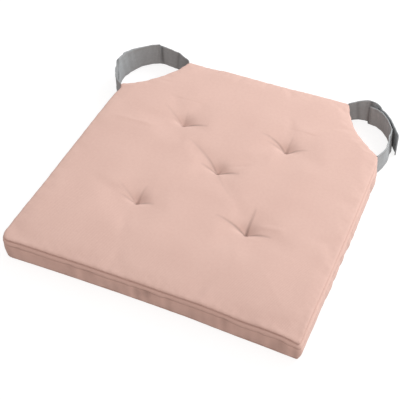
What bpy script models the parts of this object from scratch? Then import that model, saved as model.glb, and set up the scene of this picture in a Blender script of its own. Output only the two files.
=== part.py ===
"""A tufted, box-edged chair seat pad with two strap loops that fasten it to the chair's rear posts.

Metres, +Z up, +Y towards the back of the chair. The origin is the middle of the pad's underside,
halfway between its front and back edges and between its sides.
"""

import math

import bmesh
import bpy
from mathutils import Matrix, Vector
from mathutils.geometry import delaunay_2d_cdt

# Plan of the pad, measured on the seams of its cover
PAD_DEPTH = 0.400
FRONT_HALF_WIDTH = 0.1965
SIDE_CORNER_HALF_WIDTH = 0.1905
REAR_CORNER_HALF_WIDTH = 0.1215
CUT_DEPTH = 0.084
CUT_HOLLOW = 0.011
FRONT_HOLLOW = 0.004
SIDE_HOLLOW = -0.001
BACK_HOLLOW = 0.003
FRONT_CORNER_RADIUS = 0.010

# Heights and thicknesses
EDGE_HEIGHT = 0.034
CROWN = 0.004
CROWN_RUN = 0.070
BAND_BULGE = 0.0025
FABRIC = 0.001
WADDING = 0.004
GAP = 0.0003
SEAM_SLIT = 0.0008
BULGE_RUN = 0.030

# Tufts: four in a slightly turned rectangle and one near its middle, each a stitch pulled right through
TUFT_MIDDLE = Vector((0.0042, -0.0045))
TUFT_HALF_SPACING = Vector((0.0729, 0.0765))
TUFT_TURN = math.radians(1.8)
CENTRE_TUFT = Vector((0.0065, 0.0045))
TUFT_HOLE_RADIUS = 0.0013
TUFT_FLOOR_RADIUS = 0.0045
TOP_DIMPLE_RADIUS = 0.026
TOP_DIMPLE_DEPTH = 0.011
UNDER_DIMPLE_RADIUS = 0.0065
UNDER_DIMPLE_DEPTH = 0.003
THREAD_WIDTH = 0.0012
STITCH_LENGTH = 0.006

# Straps: upright ribbons, a rear half outside a side half, held face to face by two tapes
RIGHT_REAR_STRAP_LENGTH = 0.105
RIGHT_SIDE_STRAP_LENGTH = 0.115
LEFT_REAR_STRAP_LENGTH = 0.110
LEFT_SIDE_STRAP_LENGTH = 0.118
STRAP_WIDTH = 0.034
STRAP_THICKNESS = 0.002
TAPE_WIDTH = 0.025
TAPE_THICKNESS = 0.001
STRAP_STEP = 0.005
OVERLAP_OFFSET = STRAP_THICKNESS / 2 + TAPE_THICKNESS + 1.5 * GAP
MERGE_RUN = 0.020
STRAP_FOOT = 0.0005
REAR_HALF_LIFT = 0.002
TIP_FLARE = 0.006
FLARE_RUN = 0.014
TAPE_MARGIN = 0.006

# How finely the soft layers are meshed
GRID_STEP = 0.045
EDGE_MARGIN = 0.020
RING_POINTS = 10
BAND_LEVELS = 4

# Each material: colour, roughness, metallic
CANVAS_PINK = ((0.775, 0.527, 0.456), 0.90, 0.0)
CANVAS_GREY = ((0.400, 0.385, 0.380), 0.90, 0.0)
HOOK_GREY = ((0.200, 0.193, 0.190), 0.70, 0.0)
LOOP_GREY = ((0.380, 0.366, 0.361), 0.95, 0.0)
FOAM_CREAM = ((0.820, 0.760, 0.600), 0.95, 0.0)
WADDING_WHITE = ((0.850, 0.850, 0.840), 1.00, 0.0)
THREAD_PINK = ((0.640, 0.410, 0.350), 0.80, 0.0)


def clear_scene():
    for thing in list(bpy.data.objects):
        bpy.data.objects.remove(thing, do_unlink=True)


def material(name, finish):
    colour, roughness, metallic = finish
    made = bpy.data.materials.new(name)
    made.use_nodes = True
    shader = made.node_tree.nodes["Principled BSDF"]
    shader.inputs["Base Color"].default_value = (*colour, 1.0)
    shader.inputs["Roughness"].default_value = roughness
    shader.inputs["Metallic"].default_value = metallic
    return made


def add_object(name, points, faces, finish, origin=Vector((0, 0, 0))):
    """A named object whose mesh is given in world coordinates and whose origin is at origin."""
    mesh = bpy.data.meshes.new(name)
    mesh.from_pydata([Vector(point) - origin for point in points], [], faces)
    mesh.materials.append(material(name, finish))
    bm = bmesh.new()
    bm.from_mesh(mesh)
    bmesh.ops.recalc_face_normals(bm, faces=bm.faces)
    bmesh.ops.triangulate(bm, faces=bm.faces)
    bm.to_mesh(mesh)
    bm.free()
    made = bpy.data.objects.new(name, mesh)
    made.location = origin
    bpy.context.scene.collection.objects.link(made)
    return made


def ease(t):
    """0 below 0, 1 above 1, and smooth between."""
    t = min(max(t, 0.0), 1.0)
    return t * t * (3 - 2 * t)


# ---- plan outline ----


def bowed_edge(start, end, hollow, steps):
    """Points from start up to, but without, end, bowed by hollow to the left of the walk."""
    along = end - start
    left = Vector((-along.y, along.x)).normalized()
    shares = [i / steps for i in range(steps)]
    return [start + along * t + left * (hollow * 4 * t * (1 - t)) for t in shares]


def front_corner(side):
    """Points round a front corner, anticlockwise: side is -1 for the left corner, 1 for the right."""
    radius = FRONT_CORNER_RADIUS
    centre = Vector((side * (FRONT_HALF_WIDTH - radius), -PAD_DEPTH / 2 + radius))
    first = -90 if side > 0 else 180
    turns = [math.radians(first + 90 * i / 4) for i in range(5)]
    return [centre + radius * Vector((math.cos(a), math.sin(a))) for a in turns]


def seam_corners():
    """The four corners where two bands meet and a strap is sewn in, anticlockwise from the right side."""
    side_y = PAD_DEPTH / 2 - CUT_DEPTH
    right_side = Vector((SIDE_CORNER_HALF_WIDTH, side_y))
    right_rear = Vector((REAR_CORNER_HALF_WIDTH, PAD_DEPTH / 2))
    left_rear = Vector((-REAR_CORNER_HALF_WIDTH, PAD_DEPTH / 2))
    left_side = Vector((-SIDE_CORNER_HALF_WIDTH, side_y))
    return right_side, right_rear, left_rear, left_side


def band_paths():
    """The seam line of each band, end corner included, by band name, anticlockwise round the pad."""
    right_side, right_rear, left_rear, left_side = seam_corners()
    left_front = front_corner(-1)
    right_front = front_corner(1)
    wrap = bowed_edge(left_side, left_front[0], SIDE_HOLLOW, 5)
    wrap += left_front[:-1]
    wrap += bowed_edge(left_front[-1], right_front[0], FRONT_HOLLOW, 8)
    wrap += right_front[:-1]
    wrap += bowed_edge(right_front[-1], right_side, SIDE_HOLLOW, 5)
    return {
        "front_and_sides_band": wrap + [right_side],
        "right_cut_band": bowed_edge(right_side, right_rear, CUT_HOLLOW, 8) + [right_rear],
        "back_band": bowed_edge(right_rear, left_rear, BACK_HOLLOW, 6) + [left_rear],
        "left_cut_band": bowed_edge(left_rear, left_side, CUT_HOLLOW, 8) + [left_side],
    }


def pad_outline():
    """The closed seam line of the top panel, and of the bottom one, anticlockwise."""
    return [point for path in band_paths().values() for point in path[:-1]]


def left_normals(path, closed=False):
    """For each point, the mitred unit step to the left of the walk."""
    normals = []
    for i, point in enumerate(path):
        before = path[i - 1] if closed or i > 0 else point - (path[1] - point)
        after = path[(i + 1) % len(path)] if closed or i < len(path) - 1 else point + (point - path[-2])
        into = (point - before).normalized()
        out = (after - point).normalized()
        mitre = Vector((-into.y - out.y, into.x + out.x)).normalized()
        normals.append(mitre / mitre.dot(Vector((-into.y, into.x))))
    return normals


def inset(outline, distance):
    """The closed outline moved inwards."""
    return [p + n * distance for p, n in zip(outline, left_normals(outline, closed=True))]


# ---- heights over the plan ----


def edge_distance(point):
    """How far inside the seam line a point of the plan is."""
    nearest = PAD_DEPTH
    for a, b in zip(OUTLINE, OUTLINE[1:] + OUTLINE[:1]):
        along = b - a
        share = min(max((point - a).dot(along) / along.length_squared, 0.0), 1.0)
        nearest = min(nearest, (a + along * share - point).length)
    return nearest


def tuft_places():
    """The tufts' places in the plan, by name: four in a slightly turned square, and the centre."""
    turn = Matrix.Rotation(TUFT_TURN, 2)
    dx, dy = TUFT_HALF_SPACING
    return {
        "front_left": TUFT_MIDDLE + turn @ Vector((-dx, -dy)),
        "front_right": TUFT_MIDDLE + turn @ Vector((dx, -dy)),
        "centre": CENTRE_TUFT,
        "rear_left": TUFT_MIDDLE + turn @ Vector((-dx, dy)),
        "rear_right": TUFT_MIDDLE + turn @ Vector((dx, dy)),
    }


def dimple(point, radius):
    """1 on the small flat floor of a tuft's dimple, easing to 0 at its radius."""
    away = min((point - tuft).length for tuft in TUFTS.values())
    return ease((radius - away) / (radius - TUFT_FLOOR_RADIUS))


def top_height(point):
    crown = CROWN * ease(edge_distance(point) / CROWN_RUN)
    return EDGE_HEIGHT + crown - TOP_DIMPLE_DEPTH * dimple(point, TOP_DIMPLE_RADIUS)


def under_height(point):
    return UNDER_DIMPLE_DEPTH * dimple(point, UNDER_DIMPLE_RADIUS)


# ---- soft layers ----


def ring(centre, radius, count):
    turns = [2 * math.pi * i / count for i in range(count)]
    return [centre + radius * Vector((math.cos(a), math.sin(a))) for a in turns]


def inner_points():
    """Points inside the outline that let a layer follow the crown and the dimples."""
    reach = int(PAD_DEPTH / GRID_STEP / 2) + 1
    steps = range(-reach, reach + 1)
    grid = [Vector((i * GRID_STEP, j * GRID_STEP)) for i in steps for j in steps]
    kept = [p for p in grid if is_inside(p) and edge_distance(p) > EDGE_MARGIN]
    kept = [p for p in kept if min((p - t).length for t in TUFTS.values()) > TOP_DIMPLE_RADIUS + 0.008]
    for tuft in TUFTS.values():
        kept += ring(tuft, TUFT_FLOOR_RADIUS, RING_POINTS)
        kept += ring(tuft, UNDER_DIMPLE_RADIUS, RING_POINTS)
        kept += ring(tuft, (UNDER_DIMPLE_RADIUS + TOP_DIMPLE_RADIUS) / 2, RING_POINTS)
        kept += ring(tuft, TOP_DIMPLE_RADIUS, RING_POINTS)
    return kept


def is_inside(point):
    """Whether a point of the plan is inside the seam line."""
    inside = False
    for a, b in zip(OUTLINE, OUTLINE[1:] + OUTLINE[:1]):
        if (a.y > point.y) != (b.y > point.y):
            crossing = a.x + (point.y - a.y) / (b.y - a.y) * (b.x - a.x)
            inside ^= point.x < crossing
    return inside


def plan_triangles(outline):
    """The plan inside outline, with a thread hole at each tuft, as points and triangles."""
    loops = [outline] + [ring(tuft, TUFT_HOLE_RADIUS, 8) for tuft in TUFTS.values()]
    points = []
    edges = []
    for loop in loops:
        first = len(points)
        points += loop
        edges += [(first + i, first + (i + 1) % len(loop)) for i in range(len(loop))]
    points += inner_points()
    inside_the_outline = 1
    same_point = 1e-6
    found = delaunay_2d_cdt(points, edges, [], inside_the_outline, same_point)
    points = found[0]
    return points, [t for t in found[2] if not in_thread_hole(sum((points[i] for i in t), Vector((0, 0))) / 3)]


def in_thread_hole(point):
    return min((point - tuft).length for tuft in TUFTS.values()) < TUFT_HOLE_RADIUS * 0.9


def layer(name, outline, lower, upper, finish):
    """A soft layer between two height functions of the plan."""
    points, triangles = plan_triangles(outline)
    count = len(points)
    corners = [(*p, lower(p)) for p in points] + [(*p, upper(p)) for p in points]
    faces = [[i + count for i in triangle] for triangle in triangles]
    faces += [list(reversed(triangle)) for triangle in triangles]
    rim = {(t[i], t[(i + 1) % 3]) for t in triangles for i in range(3)}
    faces += [(a, b, b + count, a + count) for a, b in sorted(rim) if (b, a) not in rim]
    return add_object(name, corners, faces, finish)


def make_layers():
    """Cover panels, wadding and foam, from the top down."""
    filling = inset(OUTLINE, FABRIC + GAP)
    wadding_from = FABRIC + GAP
    foam_from = wadding_from + WADDING + GAP
    layer(
        "top_panel", OUTLINE,
        lambda p: top_height(p) - FABRIC, top_height, CANVAS_PINK,
    )
    layer(
        "top_wadding", filling,
        lambda p: top_height(p) - wadding_from - WADDING,
        lambda p: top_height(p) - wadding_from, WADDING_WHITE,
    )
    layer(
        "foam_core", filling,
        lambda p: under_height(p) + foam_from,
        lambda p: top_height(p) - foam_from, FOAM_CREAM,
    )
    layer(
        "bottom_wadding", filling,
        lambda p: under_height(p) + wadding_from,
        lambda p: under_height(p) + wadding_from + WADDING, WADDING_WHITE,
    )
    layer(
        "bottom_panel", OUTLINE,
        under_height, lambda p: under_height(p) + FABRIC, CANVAS_PINK,
    )


# ---- bands ----


def shortened(path, trim):
    """An open path with its two end points moved in along it by trim."""
    first = path[0] + (path[1] - path[0]).normalized() * trim
    last = path[-1] + (path[-2] - path[-1]).normalized() * trim
    return [first] + path[1:-1] + [last]


def make_band(name, path):
    """One upright strip of the cover's edge, slightly bulged between its seams."""
    path = shortened(path, SEAM_SLIT)
    normals = left_normals(path)
    walked = [0.0]
    for a, b in zip(path, path[1:]):
        walked.append(walked[-1] + (b - a).length)
    low = FABRIC + GAP
    high = EDGE_HEIGHT - FABRIC - GAP
    corners = []
    for point, normal, along in zip(path, normals, walked):
        swell = BAND_BULGE * ease(min(along, walked[-1] - along) / BULGE_RUN)
        for thickness in (0.0, FABRIC):
            for level in range(BAND_LEVELS + 1):
                share = level / BAND_LEVELS
                out = swell * math.sin(math.pi * share)
                plan = point - normal * (out - thickness)
                corners.append((*plan, low + (high - low) * share))
    return add_object(name, corners, tube_faces(len(path), section_loop()), CANVAS_PINK)


def section_loop():
    """The order in which a band's section is walked: up its outer side, down its inner side."""
    per_side = BAND_LEVELS + 1
    return list(range(per_side)) + list(range(2 * per_side - 1, per_side - 1, -1))


def tube_faces(stations, loop):
    """Faces of a capped tube: stations sections of len(loop) points, joined in loop's order."""
    size = len(loop)
    faces = []
    for station in range(stations - 1):
        here = station * size
        for i in range(size):
            a = loop[i]
            b = loop[(i + 1) % size]
            faces.append((here + a, here + b, here + size + b, here + size + a))
    last = (stations - 1) * size
    half = size // 2
    for base in (0, last):
        for i in range(half - 1):
            quad = (loop[i], loop[i + 1], loop[size - 2 - i], loop[size - 1 - i])
            faces.append(tuple(base + corner for corner in quad))
    return faces


# ---- straps ----


def smooth_path(points, step):
    """Evenly spaced points on a smooth curve through the given ones (Catmull-Rom)."""
    ends = [2 * points[0] - points[1]] + points + [2 * points[-1] - points[-2]]
    fine = []
    for a, b, c, d in zip(ends, ends[1:], ends[2:], ends[3:]):
        for i in range(12):
            t = i / 12
            fine.append(
                0.5 * (2 * b + (c - a) * t + (2 * a - 5 * b + 4 * c - d) * t**2
                       + (3 * b - a - 3 * c + d) * t**3)
            )
    fine.append(points[-1])
    return even_points(fine, step)


def even_points(path, step):
    """The path walked again in equal steps of about step."""
    lengths = [(b - a).length for a, b in zip(path, path[1:])]
    count = max(1, round(sum(lengths) / step))
    pace = sum(lengths) / count
    walked = [path[0]]
    wanted = pace
    gone = 0.0
    for a, b, length in zip(path, path[1:], lengths):
        while wanted <= gone + length and len(walked) < count:
            walked.append(a.lerp(b, (wanted - gone) / length))
            wanted += pace
        gone += length
    return walked + [path[-1]]


def strap_hinge(corner):
    """Where a strap's root turns: just outside a seam corner, clear of both bands."""
    outline_normals = dict(zip([tuple(p) for p in OUTLINE], left_normals(OUTLINE, closed=True)))
    outward = -outline_normals[tuple(corner)].normalized()
    return corner + outward * (STRAP_THICKNESS / 2 + 2 * GAP)


def loop_lines():
    """The line of each strap loop in the plan, from its rear root round to its side root."""
    right_side, right_rear, left_rear, left_side = [strap_hinge(corner) for corner in seam_corners()]
    right = [
        right_rear,
        Vector((0.131, 0.207)),
        Vector((0.144, 0.2115)),
        Vector((0.158, 0.2100)),
        Vector((0.174, 0.1985)),
        Vector((0.190, 0.1780)),
        Vector((0.1975, 0.158)),
        Vector((0.1965, 0.136)),
        right_side,
    ]
    left = [
        left_rear,
        Vector((-0.131, 0.206)),
        Vector((-0.145, 0.2115)),
        Vector((-0.162, 0.2135)),
        Vector((-0.180, 0.2105)),
        Vector((-0.199, 0.1985)),
        Vector((-0.212, 0.180)),
        Vector((-0.2155, 0.164)),
        Vector((-0.211, 0.148)),
        Vector((-0.203, 0.131)),
        left_side,
    ]
    return {"right": smooth_path(right, STRAP_STEP), "left": smooth_path(left, STRAP_STEP)}


def strap_path(line, outward, overlap, tip, offset, flare):
    """The part of a loop's line that one strap half follows, from its root to its tip.

    It has moved to the outer or inner layer where the overlap starts, and flare curls its tip
    out. overlap and tip are indices on the line, and outward is the sign of the outward side.
    """
    normals = left_normals(line)
    placed = []
    for i in range(tip + 1):
        aside = offset * ease((i - overlap) * STRAP_STEP / MERGE_RUN + 1)
        curl = flare * ease(1 - (tip - i) * STRAP_STEP / FLARE_RUN)
        placed.append(line[i] + normals[i] * (outward * (aside + curl)))
    return placed


def ribbon(name, path, half_thickness, foot, height, finish, origin, round_root=False):
    """An upright ribbon along a plan path; a round root lets a strap turn about its hinge."""
    normals = left_normals(path)
    stations = [(p, n, half_thickness) for p, n in zip(path, normals)]
    if round_root:
        back = (path[0] - path[1]).normalized()
        turns = [math.radians(a) for a in (80, 55, 30)]
        root = [
            (path[0] + back * half_thickness * math.sin(a), normals[0], half_thickness * math.cos(a))
            for a in turns
        ]
        stations = root + stations
    corners = []
    for point, normal, half in stations:
        for side in (-1, 1):
            plan = point + normal * (side * half)
            corners.append((*plan, foot))
            corners.append((*plan, foot + height))
    return add_object(name, corners, tube_faces(len(stations), [0, 1, 3, 2]), finish, origin)


def make_strap(side, end, line, outward, lengths, offset, flare, lift, tape_name, tape_finish):
    """One strap half and the tape sewn to the face that meets the other half."""
    own_length, other_length = lengths
    tip = round(own_length / STRAP_STEP)
    overlap = len(line) - 1 - round(other_length / STRAP_STEP)
    path = strap_path(line, outward, overlap, tip, offset, flare)
    hinge = Vector((*path[0], 0.0))
    foot = STRAP_FOOT + lift
    strap = ribbon(
        f"{side}_{end}_strap", path, STRAP_THICKNESS / 2, foot, STRAP_WIDTH, CANVAS_GREY, hinge, True
    )
    first = overlap + round(max(TAPE_MARGIN, FLARE_RUN if end == "side" else 0) / STRAP_STEP)
    last = tip - round((TAPE_MARGIN + FLARE_RUN) / STRAP_STEP)
    facing = -math.copysign(STRAP_THICKNESS / 2 + GAP / 2 + TAPE_THICKNESS / 2, offset)
    normals = left_normals(path)
    tape_path = [path[i] + normals[i] * (outward * facing) for i in range(first, last + 1)]
    tape_foot = STRAP_FOOT + (STRAP_WIDTH + REAR_HALF_LIFT - TAPE_WIDTH) / 2
    tape = ribbon(
        f"{side}_{tape_name}", tape_path, (TAPE_THICKNESS - GAP) / 2, tape_foot, TAPE_WIDTH,
        tape_finish, hinge,
    )
    tape.parent = strap
    tape.location = (0, 0, 0)


def make_loop(side, line, rear_length, side_length, flare):
    """The two halves of one loop. The rear half lies outside and the side half inside."""
    outward = 1 if side == "right" else -1
    make_strap(
        side, "rear", line, outward, (rear_length, side_length), OVERLAP_OFFSET, flare,
        REAR_HALF_LIFT, "hook_tape", HOOK_GREY,
    )
    make_strap(
        side, "side", line[::-1], -outward, (side_length, rear_length), -OVERLAP_OFFSET, 0.0,
        0.0, "loop_tape", LOOP_GREY,
    )


# ---- tuft threads ----


def make_tuft_thread(name, place):
    """A doubled thread through the pad with a short stitch across each face, as one flat profile."""
    top = top_height(place) + GAP
    under = under_height(place) - GAP
    shaft = THREAD_WIDTH / 2
    stitch = STITCH_LENGTH / 2
    right_half = [
        (stitch, under - THREAD_WIDTH), (stitch, under), (shaft, under),
        (shaft, top), (stitch, top), (stitch, top + THREAD_WIDTH),
    ]
    profile = right_half + [(-x, z) for x, z in reversed(right_half)]
    count = len(profile)
    corners = [(place.x + x, place.y - shaft, z) for x, z in profile]
    corners += [(place.x + x, place.y + shaft, z) for x, z in profile]
    faces = [(i, (i + 1) % count, (i + 1) % count + count, i + count) for i in range(count)]
    faces += [tuple(range(count)), tuple(range(2 * count - 1, count - 1, -1))]
    return add_object(name, corners, faces, THREAD_PINK)


clear_scene()
OUTLINE = pad_outline()
TUFTS = tuft_places()
make_layers()
for band_name, band_path in band_paths().items():
    make_band(band_name, band_path)
for tuft_name, tuft_place in TUFTS.items():
    make_tuft_thread(f"{tuft_name}_tuft_thread", tuft_place)
LOOP_LINES = loop_lines()
make_loop("right", LOOP_LINES["right"], RIGHT_REAR_STRAP_LENGTH, RIGHT_SIDE_STRAP_LENGTH, TIP_FLARE)
make_loop("left", LOOP_LINES["left"], LEFT_REAR_STRAP_LENGTH, LEFT_SIDE_STRAP_LENGTH, 0.0)
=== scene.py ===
"""Looks of a tufted, box-edged chair seat pad in pink cotton with two grey strap loops.

The cover is built over a plan grid that is fine at the seams and tufts. A coarse copy is
inflated by cloth simulation, and the way it moved is laid over the fine grid.
"""

import math

import bmesh
import bpy
import numpy as np
from mathutils import Matrix, Vector


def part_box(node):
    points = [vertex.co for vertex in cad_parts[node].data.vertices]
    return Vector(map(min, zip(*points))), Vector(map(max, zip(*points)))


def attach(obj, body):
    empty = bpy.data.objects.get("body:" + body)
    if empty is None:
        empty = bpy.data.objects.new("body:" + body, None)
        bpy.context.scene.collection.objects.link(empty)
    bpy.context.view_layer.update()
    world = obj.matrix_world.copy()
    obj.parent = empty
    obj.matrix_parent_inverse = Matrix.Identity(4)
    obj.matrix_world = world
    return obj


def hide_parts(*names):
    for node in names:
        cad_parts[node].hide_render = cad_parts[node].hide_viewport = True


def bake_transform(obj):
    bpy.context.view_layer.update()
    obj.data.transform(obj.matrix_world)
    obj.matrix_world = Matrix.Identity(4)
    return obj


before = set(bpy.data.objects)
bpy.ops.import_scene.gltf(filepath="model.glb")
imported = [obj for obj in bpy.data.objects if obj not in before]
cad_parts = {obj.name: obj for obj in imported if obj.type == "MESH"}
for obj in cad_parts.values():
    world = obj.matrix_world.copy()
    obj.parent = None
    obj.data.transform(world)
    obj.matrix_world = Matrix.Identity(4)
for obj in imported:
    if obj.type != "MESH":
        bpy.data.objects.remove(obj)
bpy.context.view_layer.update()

# ---- sizes read from the frame ----
TOP_LOW, TOP_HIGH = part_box("top_panel")
CUT_LOW, CUT_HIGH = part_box("right_cut_band")
STRAP_LOW, STRAP_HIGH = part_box("right_side_strap")
FRONT_HALF = TOP_HIGH.x - 0.0010
FRONT_Y = TOP_LOW.y
BACK_Y = TOP_HIGH.y
SIDE_HALF = CUT_HIGH.x
SIDE_Y = CUT_LOW.y
REAR_HALF = CUT_LOW.x
TUFTS = {
    name: sum(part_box(f"{name}_tuft_thread"), Vector()) / 2
    for name in ("front_left", "front_right", "centre", "rear_left", "rear_right")
}

# ---- shape of the cover, in metres ----
EDGE_TOP = 0.0345
CROWN = 0.0024
CROWN_RUN = 0.085
PANEL_DEPTH = 0.0050
CUT_HOLLOW = 0.0115
FRONT_HOLLOW = 0.0035
SIDE_BULGE = 0.0006
BACK_HOLLOW = 0.0030
LEFT_CORNER_RADIUS = 0.013
RIGHT_CORNER_RADIUS = 0.0022

# The sides are drawn in just in front of the side corners, and the left strap pulls its corner out
CORNER_DRAW = 0.0022
CORNER_DRAW_REACH = 0.011
CORNER_DRAW_PLACE = {"left": 0.008, "right": 0.0}
LEFT_CORNER_PULL = 0.0034
LEFT_PULL_REACH = 0.0045
LEFT_SLACK = 0.0019
RIGHT_SLACK = 0.0017
FRONT_SPLAY = 0.0020
CUT_WAVE = 0.0006

# Each panel's edge rolls over and tucks in to the seam, along part of an ellipse
ROLL_END = math.radians(140)
TOP_ROLL_WIDTH = 0.0045
TOP_ROLL_HEIGHT = 0.0015
UNDER_ROLL_WIDTH = 0.0032
UNDER_ROLL_HEIGHT = 0.0012
TOP_TUCK = TOP_ROLL_WIDTH * (1 - math.sin(ROLL_END))
UNDER_TUCK = UNDER_ROLL_WIDTH * (1 - math.sin(ROLL_END))
SEAM_TOP = EDGE_TOP - TOP_ROLL_HEIGHT * (1 - math.cos(ROLL_END))
SEAM_BOTTOM = UNDER_ROLL_HEIGHT * (1 - math.cos(ROLL_END))

# The band: a padded roll under the top seam, a groove below it, and a soft bulge
BAND_THICKNESS = 0.0009
BAND_ROLL = 0.0030
WELT_HEIGHT = 0.0068
WELT_BULGE = 0.0009
GROOVE_DEPTH = 0.0014
GROOVE_WIDTH = 0.0010
BAND_BULGE = 0.0022
SIDE_SHARE = 0.7
BAND_LEVELS = 27
BAND_WAVE = (0.0004, 0.06)
END_ROUNDING = 0.004
END_RUN = 0.035

# Painted shade in the seams, the groove, the band's foot and the pucker hollows, 0 to 1, and a seam's width
SEAM_SHADE = 0.32
GROOVE_SHADE = 0.32
FOOT_SHADE = 0.55
PUCKER_DEPTH = 0.0008
PUCKER_LENGTH = 0.015
PUCKER_PATCH = 0.11
PUCKER_SHADE = 0.20
SEAM_LINE = 0.0010

# Tufts: a shallow dish on the rear side of each, a sharp pinch, creases that run out of it, and a pocket
# of painted shade between them. The underside is pulled in less than the top
DISH_DEPTH = 0.0052
DISH_RADIUS = 0.0130
PINCH_DEPTH = 0.0026
PINCH_RADIUS = 0.0030
POCKET_SHADE = 0.15
POCKET_PLACE = (0.0035, 0.0125)
POCKET_RADIUS = 0.0100
CREASE_STEEP = 0.0008
CREASE_LIP = 0.0013
CREASE_SLOPE = 0.0060
UNDER_SHARE = 0.7

# Painted shade that darkens the top towards its front edge
FRONT_PAINTED_SHADE = 0.06
FRONT_PAINTED_SHADE_REACH = 0.11

# Fine unevenness: depth and wavelength of the top's soft waves, and of the ripples beside the seams
TOP_WAVE = (0.00022, 0.055)
SEAM_RIPPLE = (0.00035, 0.011)

# Inside the cover: how each panel's inner face is drawn in at the seam and pinched in at the tufts,
# and how far the foam keeps clear of both
INNER_INSET = 0.0012
WAIST_REACH = 0.012
TOP_WAIST = 0.0040
UNDER_WAIST = 0.0035
FOAM_CLEARANCE = 0.0006
FOAM_EXTRA_WAIST = 0.0005

# Grid spacing over the plan, and of the coarse simulated copy
FINE_STEP = 0.0010
COARSE_STEP = 0.0017
INNER_STRIDE = 4
TUFT_REACH = 0.014
SEAM_REACH = 0.005
BAND_STEP = 0.0018
SIM_COLUMNS = 60
SIM_ROWS = 62
SIM_LEVELS = 4
SIM_FRAMES = 20
SIM_CAP = 0.003
SWELL_SHARE = 0.65

SEED = 7


def ease(t):
    """0 below 0, 1 above 1, smooth between, for numbers and arrays."""
    t = np.clip(t, 0.0, 1.0)
    return t * t * (3 - 2 * t)


def ripples(x, y, wavelength, seed, waves=7):
    """Smooth seeded unevenness of about unit size: a sum of plane waves in random directions."""
    rng = np.random.default_rng(seed)
    total = np.zeros(np.broadcast(x, y).shape)
    for _ in range(waves):
        angle = rng.uniform(0, 2 * math.pi)
        length = wavelength * rng.uniform(0.6, 1.7)
        phase = rng.uniform(0, 2 * math.pi)
        total += np.sin(2 * math.pi * (x * math.cos(angle) + y * math.sin(angle)) / length + phase)
    return total / math.sqrt(waves)


# ---- plan of the pad ----


def cut_point(share):
    """A point on the right hollowed corner's seam line, from the side corner to the rear one."""
    start = np.array((SIDE_HALF, SIDE_Y))
    end = np.array((REAR_HALF, BACK_Y))
    along = end - start
    inward = np.array((-along[1], along[0])) / np.hypot(*along)
    share = np.asarray(share)[..., None]
    return start + along * share + inward * CUT_HOLLOW * 4 * share * (1 - share)


def plan(s, t):
    """Plan coordinates for s from -1 (left) to 1 (right) and t from 0 (front) to 2 (back).

    t = 1 is the line between the two side corners, behind which the corners are hollowed.
    """
    s, t = np.broadcast_arrays(np.asarray(s, float), np.asarray(t, float))
    front = np.clip(t, 0, 1)
    half = FRONT_HALF + (SIDE_HALF - FRONT_HALF) * front + SIDE_BULGE * 4 * front * (1 - front)
    x = s * half
    y = FRONT_Y + (SIDE_Y - FRONT_Y) * front + FRONT_HOLLOW * (1 - s * s) * (1 - front) ** 3
    x, y = round_corner(x, y, s, t)
    rear = np.clip(t - 1, 0, 1)
    cut = cut_point(rear)
    level = SIDE_Y + (BACK_Y - BACK_HOLLOW * (1 - s * s) - SIDE_Y) * rear
    edge = s * s
    behind = t > 1
    x = np.where(behind, s * cut[..., 0], x)
    y = np.where(behind, cut[..., 1] * edge + level * (1 - edge), y)
    return x - s * np.abs(s) * drawn_in(x, y), y


def drawn_in(x, y):
    """How far the sides of the plan are drawn in from their straight lines."""
    ahead = {side: SIDE_Y - place - y for side, place in CORNER_DRAW_PLACE.items()}
    drawn = {side: CORNER_DRAW * np.exp(-((away / CORNER_DRAW_REACH) ** 2)) for side, away in ahead.items()}
    pull = LEFT_CORNER_PULL * np.exp(-(((y - SIDE_Y) / LEFT_PULL_REACH) ** 2))
    left = drawn["left"] - pull + LEFT_SLACK * ease((y - FRONT_Y) / 0.12) * ease((SIDE_Y + 0.05 - y) / 0.05)
    right = drawn["right"] + RIGHT_SLACK * ease((0.02 - y) / 0.22)
    wave = CUT_WAVE * ripples(x, y, 0.010, SEED + 9) * ease((y - SIDE_Y) / 0.012)
    return wave + np.where(x < 0, left, right)


def splay(points):
    """Leans the foot of the front edge out a little, most to the right of the middle."""
    x, y, z = points[..., 0], points[..., 1], points[..., 2]
    near = ease((FRONT_Y + 0.05 - y) / 0.05)
    width = 0.4 + 0.6 * ease((x - 0.04) / 0.08)
    points[..., 1] = y - FRONT_SPLAY * near * width * (1 - z / EDGE_TOP)
    return points


def round_corner(x, y, s, t):
    """Rounds the two front corners of the plan by drawing the square corner in to a quarter circle."""
    for side, radius in ((-1, LEFT_CORNER_RADIUS), (1, RIGHT_CORNER_RADIUS)):
        across = (side * x - (FRONT_HALF - radius)) / radius
        ahead = (FRONT_Y + radius - y) / radius
        inside = (across > 0) & (ahead > 0) & (t < 0.5) & (side * s > 0)
        a = np.clip(across, 0, 1)
        b = np.clip(ahead, 0, 1)
        x = np.where(inside, side * (FRONT_HALF - radius + radius * a * np.sqrt(1 - b * b / 2)), x)
        y = np.where(inside, FRONT_Y + radius - radius * b * np.sqrt(1 - a * a / 2), y)
    return x, y


def grid_lines(low, high, centres):
    """Positions from low to high, close together near each (centre, reach) and wider elsewhere."""
    lines = [low]
    while lines[-1] < high:
        away = min((abs(lines[-1] - c) - reach) / reach for c, reach in centres)
        lines.append(lines[-1] + FINE_STEP + (COARSE_STEP - FINE_STEP) * float(ease(away)))
    lines = np.array(lines)
    return low + (lines - low) * (high - low) / (lines[-1] - low)


def column_shares():
    """The fine grid's s values, closest at the side seams and the tufts."""
    centres = [(-FRONT_HALF, SEAM_REACH), (FRONT_HALF, SEAM_REACH)]
    centres += [(tuft.x, TUFT_REACH) for tuft in TUFTS.values()]
    return grid_lines(-FRONT_HALF, FRONT_HALF, centres) / FRONT_HALF


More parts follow.
